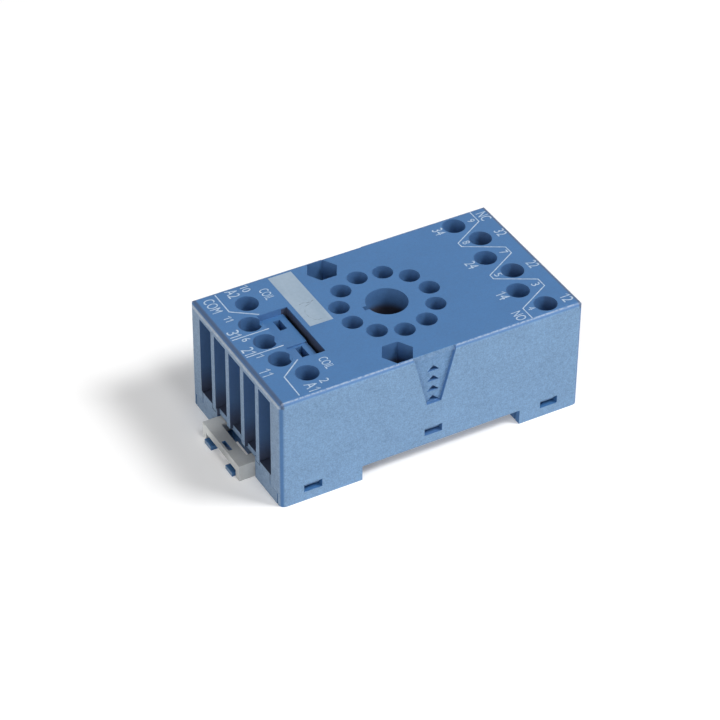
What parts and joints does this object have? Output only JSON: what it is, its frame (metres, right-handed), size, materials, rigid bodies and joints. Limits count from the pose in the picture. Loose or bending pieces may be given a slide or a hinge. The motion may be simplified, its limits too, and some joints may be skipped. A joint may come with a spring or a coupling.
{
  "type": "relay socket",
  "caption": "Blue relay socket for a 35 mm rail, with round-pin sockets around a keyed hole, screw terminals with box clamps at both ends and a sliding rail clip.",
  "frame": {"origin": "on the axis of the pin circle, in the plane of the rail seat", "axes": "+Z leaves the top face, +X points along the body to the end without the rail clip, +Y runs along the rail"},
  "size_m": [0.0707, 0.0376, 0.0251],
  "materials": {
    "housing_blue": "moulded, satin",
    "base_blue": "moulded, satin",
    "clip_white": "moulded, satin",
    "spring_steel": "bright wire",
    "contact_brass": "stamped",
    "plated_steel": "zinc plated",
    "screw_steel": "zinc plated"
  },
  "bodies": {
    "socket": {"housing": "housing_blue", "base_plate": "base_blue", "clip_spring": "spring_steel", "contact_a1": "contact_brass", "contact_11": "contact_brass", "contact_21": "contact_brass", "contact_31": "contact_brass", "contact_a2": "contact_brass", "contact_12": "contact_brass", "contact_14": "contact_brass", "contact_22": "contact_brass", "contact_24": "contact_brass", "contact_32": "contact_brass", "contact_34": "contact_brass"},
    "clip": {"rail_clip": "clip_white"},
    "screw_a1": {"clamp_screw_a1": "screw_steel"},
    "cage_a1": {"clamp_cage_a1": "plated_steel"},
    "screw_11": {"clamp_screw_11": "screw_steel"},
    "cage_11": {"clamp_cage_11": "plated_steel"},
    "screw_21": {"clamp_screw_21": "screw_steel"},
    "cage_21": {"clamp_cage_21": "plated_steel"},
    "screw_31": {"clamp_screw_31": "screw_steel"},
    "cage_31": {"clamp_cage_31": "plated_steel"},
    "screw_a2": {"clamp_screw_a2": "screw_steel"},
    "cage_a2": {"clamp_cage_a2": "plated_steel"},
    "screw_12": {"clamp_screw_12": "screw_steel"},
    "cage_12": {"clamp_cage_12": "plated_steel"},
    "screw_14": {"clamp_screw_14": "screw_steel"},
    "cage_14": {"clamp_cage_14": "plated_steel"},
    "screw_22": {"clamp_screw_22": "screw_steel"},
    "cage_22": {"clamp_cage_22": "plated_steel"},
    "screw_24": {"clamp_screw_24": "screw_steel"},
    "cage_24": {"clamp_cage_24": "plated_steel"},
    "screw_32": {"clamp_screw_32": "screw_steel"},
    "cage_32": {"clamp_cage_32": "plated_steel"},
    "screw_34": {"clamp_screw_34": "screw_steel"},
    "cage_34": {"clamp_cage_34": "plated_steel"}
  },
  "joints": [
    {"name": "clip_slide", "type": "slide", "parent": "socket", "child": "clip", "axis": [-1, 0, 0], "range_m": [0, 0.0025], "stiffness_N_per_m": 3300, "springref_m": -0.001, "deforming": ["clip_spring"]},
    {"name": "screw_a1_turn", "type": "hinge", "parent": "socket", "child": "screw_a1", "pos_m": [-0.0242, -0.0123, 0.012], "axis": [0, 0, 1], "range_deg": [-2450, 0]},
    {"name": "cage_a1_rise", "type": "slide", "parent": "socket", "child": "cage_a1", "axis": [0, 0, 1], "range_m": [0, 0.0034]},
    {"name": "screw_11_turn", "type": "hinge", "parent": "socket", "child": "screw_11", "pos_m": [-0.0267, -0.00615, 0.012], "axis": [0, 0, 1], "range_deg": [-2450, 0]},
    {"name": "cage_11_rise", "type": "slide", "parent": "socket", "child": "cage_11", "axis": [0, 0, 1], "range_m": [0, 0.0034]},
    {"name": "screw_21_turn", "type": "hinge", "parent": "socket", "child": "screw_21", "pos_m": [-0.0267, 0, 0.012], "axis": [0, 0, 1], "range_deg": [-2450, 0]},
    {"name": "cage_21_rise", "type": "slide", "parent": "socket", "child": "cage_21", "axis": [0, 0, 1], "range_m": [0, 0.0034]},
    {"name": "screw_31_turn", "type": "hinge", "parent": "socket", "child": "screw_31", "pos_m": [-0.0267, 0.00615, 0.012], "axis": [0, 0, 1], "range_deg": [-2450, 0]},
    {"name": "cage_31_rise", "type": "slide", "parent": "socket", "child": "cage_31", "axis": [0, 0, 1], "range_m": [0, 0.0034]},
    {"name": "screw_a2_turn", "type": "hinge", "parent": "socket", "child": "screw_a2", "pos_m": [-0.0242, 0.0123, 0.012], "axis": [0, 0, 1], "range_deg": [-2450, 0]},
    {"name": "cage_a2_rise", "type": "slide", "parent": "socket", "child": "cage_a2", "axis": [0, 0, 1], "range_m": [0, 0.0034]},
    {"name": "screw_12_turn", "type": "hinge", "parent": "socket", "child": "screw_12", "pos_m": [0.0267, -0.01537, 0.012], "axis": [0, 0, 1], "range_deg": [-2450, 0]},
    {"name": "cage_12_rise", "type": "slide", "parent": "socket", "child": "cage_12", "axis": [0, 0, 1], "range_m": [0, 0.0034]},
    {"name": "screw_14_turn", "type": "hinge", "parent": "socket", "child": "screw_14", "pos_m": [0.0242, -0.00923, 0.012], "axis": [0, 0, 1], "range_deg": [-2450, 0]},
    {"name": "cage_14_rise", "type": "slide", "parent": "socket", "child": "cage_14", "axis": [0, 0, 1], "range_m": [0, 0.0034]},
    {"name": "screw_22_turn", "type": "hinge", "parent": "socket", "child": "screw_22", "pos_m": [0.0267, -0.00308, 0.012], "axis": [0, 0, 1], "range_deg": [-2450, 0]},
    {"name": "cage_22_rise", "type": "slide", "parent": "socket", "child": "cage_22", "axis": [0, 0, 1], "range_m": [0, 0.0034]},
    {"name": "screw_24_turn", "type": "hinge", "parent": "socket", "child": "screw_24", "pos_m": [0.0242, 0.00308, 0.012], "axis": [0, 0, 1], "range_deg": [-2450, 0]},
    {"name": "cage_24_rise", "type": "slide", "parent": "socket", "child": "cage_24", "axis": [0, 0, 1], "range_m": [0, 0.0034]},
    {"name": "screw_32_turn", "type": "hinge", "parent": "socket", "child": "screw_32", "pos_m": [0.0267, 0.00923, 0.012], "axis": [0, 0, 1], "range_deg": [-2450, 0]},
    {"name": "cage_32_rise", "type": "slide", "parent": "socket", "child": "cage_32", "axis": [0, 0, 1], "range_m": [0, 0.0034]},
    {"name": "screw_34_turn", "type": "hinge", "parent": "socket", "child": "screw_34", "pos_m": [0.0242, 0.01537, 0.012], "axis": [0, 0, 1], "range_deg": [-2450, 0]},
    {"name": "cage_34_rise", "type": "slide", "parent": "socket", "child": "cage_34", "axis": [0, 0, 1], "range_m": [0, 0.0034]}
  ],
  "couplings": [
    {"joint": "screw_a1_turn", "follows": "cage_a1_rise", "rad_per_m": -12566},
    {"joint": "screw_11_turn", "follows": "cage_11_rise", "rad_per_m": -12566},
    {"joint": "screw_21_turn", "follows": "cage_21_rise", "rad_per_m": -12566},
    {"joint": "screw_31_turn", "follows": "cage_31_rise", "rad_per_m": -12566},
    {"joint": "screw_a2_turn", "follows": "cage_a2_rise", "rad_per_m": -12566},
    {"joint": "screw_12_turn", "follows": "cage_12_rise", "rad_per_m": -12566},
    {"joint": "screw_14_turn", "follows": "cage_14_rise", "rad_per_m": -12566},
    {"joint": "screw_22_turn", "follows": "cage_22_rise", "rad_per_m": -12566},
    {"joint": "screw_24_turn", "follows": "cage_24_rise", "rad_per_m": -12566},
    {"joint": "screw_32_turn", "follows": "cage_32_rise", "rad_per_m": -12566},
    {"joint": "screw_34_turn", "follows": "cage_34_rise", "rad_per_m": -12566}
  ]
}
